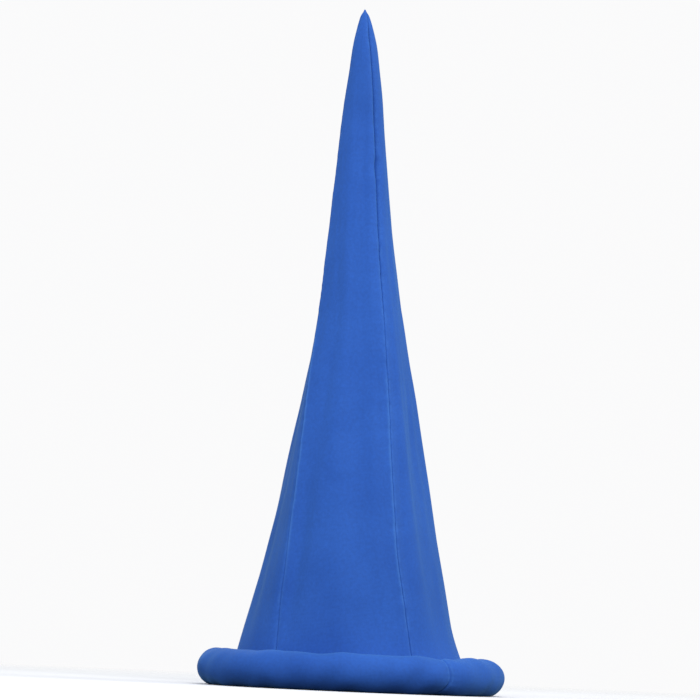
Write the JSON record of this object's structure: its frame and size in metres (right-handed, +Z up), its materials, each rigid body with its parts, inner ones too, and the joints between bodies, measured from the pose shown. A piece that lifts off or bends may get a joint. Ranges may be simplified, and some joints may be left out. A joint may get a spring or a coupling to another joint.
{
  "type": "elf hat",
  "caption": "Tall pointed cloth costume hat: a hollow conical crown of sewn gores with a slender tip, on a padded roll brim that the hat stands on.",
  "frame": {"origin": "middle of the roll brim's outer size, on the surface that the brim rests on", "axes": "+Z up towards the tip, the front of the hat faces -Y, +X is to the right seen from the front"},
  "size_m": [0.251, 0.251, 0.5719],
  "materials": {
    "crown_cloth": "royal blue, smooth fine-knit foam-backed cloth, matte with a soft sheen",
    "roll_cloth": "royal blue, the same cloth stretched over a soft stuffing, matte with a soft sheen"
  },
  "bodies": {
    "root": {"crown_front": "crown_cloth", "crown_right": "crown_cloth", "crown_back": "crown_cloth", "crown_left": "crown_cloth", "brim_roll": "roll_cloth"}
  },
  "joints": []
}
